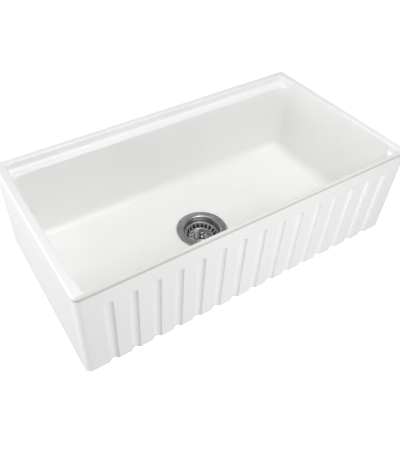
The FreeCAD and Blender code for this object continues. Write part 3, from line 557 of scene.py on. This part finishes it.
class SINK_OT_stage(bpy.types.Operator):
    """Camera, soft light and a pale floor"""
    bl_idname = "apron_sink.stage"
    bl_label = "Stage"

    def execute(self, context):
        stage = context.scene.sink_stage
        data = bpy.data.cameras.new("camera")
        data.sensor_width = SENSOR_WIDTH
        longest = max(PICTURE_WIDE, PICTURE_HIGH)
        data.lens = stage.focal_pixels / longest * data.sensor_width
        data.shift_x = (PICTURE_WIDE / 2 - stage.centre_right) / longest
        data.shift_y = (stage.centre_down - PICTURE_HIGH / 2) / longest
        camera = bpy.data.objects.new("camera", data)
        camera.location = stage.camera_place
        turn, dip = stage.camera_turn, stage.camera_dip
        ahead = Vector((math.sin(turn) * math.cos(dip), math.cos(turn) * math.cos(dip), -math.sin(dip)))
        camera.rotation_euler = ahead.to_track_quat("-Z", "Y").to_euler()
        context.scene.collection.objects.link(camera)
        context.scene.camera = camera

        mesh = bpy.data.meshes.new("floor")
        half, level = FLOOR_HALF, CAD_LOW.z - FLOOR_GAP
        corners = [(-half, -half, level), (half, -half, level), (half, half, level), (-half, half, level)]
        mesh.from_pydata(corners, [], [(0, 1, 2, 3)])
        floor = bpy.data.objects.new("floor", mesh)
        context.scene.collection.objects.link(floor)
        # white as in the photograph: it lights nothing and takes no shadow
        finish = Finish("floor")
        finish.set(Base_Color=(0.9, 0.9, 0.9, 1.0), Roughness=0.8,
                   Emission_Color=(1.0, 1.0, 1.0, 1.0), Emission_Strength=1.0)
        floor.data.materials.append(finish.material)
        floor.visible_diffuse = floor.visible_glossy = floor.visible_shadow = False

        world = bpy.data.worlds.new("studio")
        world.use_nodes = True
        background = world.node_tree.nodes["Background"]
        background.inputs["Color"].default_value = (1.0, 1.0, 1.0, 1.0)
        background.inputs["Strength"].default_value = stage.sky
        context.scene.world = world
        for name, place, aim, size, power in SOFTBOXES:
            area_light(name, place, aim, size, power)
        context.scene.view_settings.view_transform = "Standard"
        return {"FINISHED"}


class SINK_OT_cad_finish(bpy.types.Operator):
    """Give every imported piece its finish"""
    bl_idname = "apron_sink.cad_finish"
    bl_label = "Finishes"

    def execute(self, context):
        look = context.scene.sink_look
        # kept here by slot, because the frame has plain materials of the same names
        finishes = {"white_glaze": white_glaze(look)}
        for slot, *values in (("gunmetal_steel", look.gunmetal, GUNMETAL_ROUGHNESS), *STEELS):
            finishes[slot] = turned_steel(slot, *values)
        for slot, *values in (("black_rubber", look.rubber, 900.0, 0.55), *SOFTS):
            finishes[slot] = speckled(slot, *values)
        for row in frame["record"]["subparts"]:
            node = frame["nodes"][row["node"]]
            node.data.materials.clear()
            node.data.materials.append(finishes[row["material_slot"]])
        return {"FINISHED"}


def plain_material(slot):
    """The frame's own material for a slot, which is a single colour."""
    return bpy.data.materials[slot]


class SINK_OT_basket(bpy.types.Operator):
    """Slotted lift-out basket, pressed from one sheet"""
    bl_idname = "apron_sink.basket"
    bl_label = "Basket"

    def execute(self, context):
        size = context.scene.sink_basket
        low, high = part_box("basket")
        rim = (high.x - low.x) / 2
        mouth, top = rim - size.rim_width, high.z
        floor = low.z + size.sheet
        lip_foot = top - size.lip
        dome_foot = size.foot_radius - size.floor_ring
        lean = (mouth - size.foot_radius) / (top - floor)
        hole_ring = (dome_foot + size.foot_radius) / 2

        def on_wall(height):
            return size.foot_radius + lean * (height - floor), height, 0

        slot_low, slot_high = floor + size.slot_foot, lip_foot - size.slot_top
        wall = [on_wall(slot_low), on_wall((slot_low + slot_high) / 2), on_wall(slot_high)]
        hole_rows = [(hole_ring + side * size.hole_radius, floor, 0) for side in (-1, 0, 1)]
        corners = [
            (size.stem_hole, floor + size.dome_rise, 0),
            (dome_foot - size.dome_taper, floor + size.dome_rise, 2 * size.sheet),
            (dome_foot, floor, size.sheet), *hole_rows, (size.foot_radius, floor, 1.5 * size.sheet), *wall,
            (mouth, top, size.sheet), (rim, top, size.sheet), (rim, lip_foot, 0)]
        outline = rounded_outline(corners)
        slot_rows = [i for i, point in enumerate(outline)
                     if slot_low - WELD < point.y < slot_high - WELD and point.x > size.foot_radius]
        hole_at = [i for i, point in enumerate(outline)
                   if abs(point.x - hole_ring) < size.hole_radius + WELD and abs(point.y - floor) < WELD]
        half_slot = size.slot_width / 2
        step = math.pi / size.slices

        def slot_edge(middle, side):
            return lambda radius: middle + side * math.asin(min(half_slot / radius, WIDEST_SLOT * step))

        edges = []
        for middle in (0.0, step):
            edges += [middle - step / 2, slot_edge(middle, -1), middle, slot_edge(middle, 1)]
        edges.append(1.5 * step)
        slot_columns = (1, 2, 5, 6)
        hole_columns = slot_columns[:2]

        def is_gap(row, column):
            return (row in slot_rows and column in slot_columns
                    or row in hole_at[:-1] and column in hole_columns)

        def round_hole(grid):
            centre = Vector((hole_ring, 0.0, floor))
            for j in (*hole_columns, hole_columns[-1] + 1):
                for i in hole_at:
                    arm = grid[j][i].co - centre
                    if arm.length > WELD:
                        grid[j][i].co = centre + arm.normalized() * size.hole_radius

        seed = slice_mesh("basket_slice", [(edge, outline) for edge in edges], False, is_gap, round_hole)
        # a brighter, smoother copy of the strainer's steel: the brighter colour is painted light against the
        # shade in the cup, the lower roughness is its polish
        bright = turned_steel("lit_basket_steel", context.scene.sink_look.lit_basket_steel, BASKET_ROUGHNESS)
        mesh = slices_tree().grow("basket_sheet", seed, Count=size.slices, Axis=DRAIN_AXIS, Finish=bright)
        piece = add_piece("basket_sheet", welded(mesh), "basket", "basket")
        thick = piece.modifiers.new("sheet", "SOLIDIFY")
        thick.thickness = size.sheet
        thick.offset = -1.0
        thick.use_even_offset = True
        smooth = piece.modifiers.new("pressed", "SUBSURF")
        smooth.levels = smooth.render_levels = 1
        return {"FINISHED"}


class SINK_OT_nuts(bpy.types.Operator):
    """Lugged locknut, ribbed coupling nut and the strainer's thread"""
    bl_idname = "apron_sink.nuts"
    bl_label = "Nuts and thread"

    def execute(self, context):
        size = context.scene.sink_nuts
        slices = slices_tree()
        self.locknut(size, slices)
        self.coupling(size, slices)
        self.thread(size)
        return {"FINISHED"}

    def locknut(self, size, slices):
        low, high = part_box("locknut")
        lug = (high.x - low.x) / 2
        web = lug - size.lug_reach
        bore = web - size.nut_wall
        flange = web + size.lug_reach / 2
        under = high.z - size.nut_flange
        step = high.z - size.lug_step
        # the web's foot is there twice, so that plain and raised have as many rows
        plain = [(bore, high.z), (flange, high.z), (flange, step), (flange, under), (web, under),
                 (web, low.z), (web, low.z), (bore, low.z)]
        raised = [(bore, high.z), (flange, high.z), (flange, step), (lug, step), (lug, under),
                  (lug, low.z), (web, low.z), (bore, low.z)]
        half_pitch = math.pi / size.lugs
        side = size.lug_width / 2
        columns = [(-half_pitch, plain), (-half_pitch * BETWEEN_LUGS, plain)]
        for across in LUG_STEPS:
            edge = (lambda radius, across=across: math.asin(across * side / radius))
            if abs(across) == 1.0:
                pair = [(edge, plain), (edge, raised)]
                columns += pair if across < 0 else pair[::-1]
            else:
                columns.append((edge, raised))
        columns += [(half_pitch * BETWEEN_LUGS, plain), (half_pitch, plain)]
        seed = slice_mesh("locknut_slice", columns)
        mesh = slices.grow("locknut_casting", seed, Count=size.lugs, Axis=DRAIN_AXIS,
                           Finish=plain_material("cast_zinc"))
        add_piece("locknut_casting", welded(mesh), "sink", "locknut")

    def coupling(self, size, slices):
        low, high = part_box("coupling_nut")
        outer = (high.x - low.x) / 2 - size.rib_reach
        bore = outer - size.coupling_wall
        floor = low.z + size.coupling_floor
        foot, head = low.z + size.rib_foot, high.z - size.rib_gap
        half_pitch = math.pi / size.ribs
        columns = []
        for k in range(-RIB_STEPS, RIB_STEPS + 1):
            angle = half_pitch * k / RIB_STEPS
            across = angle * outer / (size.rib_width / 2)
            rib = outer + size.rib_reach * math.sqrt(max(0.0, 1.0 - across * across))
            outline = rounded_outline([
                (size.tube_radius, low.z, 0), (outer, low.z, size.coupling_round), (outer, foot, 0),
                (rib, foot, 0), (rib, head, 0), (outer, head, 0), (outer, high.z, 0), (bore, high.z, 0),
                (bore, floor, 0), (size.tube_radius, floor, 0)])
            columns.append((angle, outline))
        seed = slice_mesh("coupling_slice", columns)
        mesh = slices.grow("coupling_shell", seed, Count=size.ribs, Axis=DRAIN_AXIS,
                           Finish=plain_material("plated_tube"))
        add_piece("coupling_shell", welded(mesh), "sink", "coupling_nut")

    def thread(self, size):
        """Crests of the strainer's thread, where it shows under the locknut."""
        low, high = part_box("locknut")
        bore = (high.x - low.x) / 2 - size.lug_reach - size.nut_wall
        turns = (size.thread_shown - 2 * size.thread_crest) / size.thread_pitch
        foot = (DRAIN_X, DRAIN_Y, low.z - size.thread_shown + size.thread_crest)
        seed = bpy.data.meshes.new("thread_seed")
        mesh = thread_tree().grow("strainer_thread", seed, Radius=bore - size.thread_inset, Foot=foot,
                                  Pitch=size.thread_pitch, Turns=turns, Crest=size.thread_crest,
                                  Finish=plain_material("gunmetal_steel"))
        add_piece("strainer_thread", welded(mesh), "sink")


class SINK_PT_panel(bpy.types.Panel):
    """The steps that build the sink's looks"""
    bl_idname = "SINK_PT_panel"
    bl_label = "Apron Sink"
    bl_space_type = "VIEW_3D"
    bl_region_type = "UI"
    bl_category = "Apron Sink"

    def draw(self, context):
        for step in STEPS:
            self.layout.operator(step.bl_idname)


STEPS = (SINK_OT_stage, SINK_OT_cad_finish, SINK_OT_basket, SINK_OT_nuts)
SETTINGS = (("sink_look", LookSettings), ("sink_basket", BasketSettings), ("sink_nuts", NutSettings),
            ("sink_stage", StageSettings))


def register():
    for name, group in SETTINGS:
        bpy.utils.register_class(group)
        setattr(bpy.types.Scene, name, PointerProperty(type=group))
    for kind in (*STEPS, SINK_PT_panel):
        bpy.utils.register_class(kind)


def unregister():
    for kind in reversed((*STEPS, SINK_PT_panel)):
        bpy.utils.unregister_class(kind)
    for name, group in reversed(SETTINGS):
        delattr(bpy.types.Scene, name)
        bpy.utils.unregister_class(group)


def main():
    register()
    for step in STEPS:
        family, name = step.bl_idname.split(".")
        getattr(getattr(bpy.ops, family), name)()


if __name__ == "__main__":
    main()
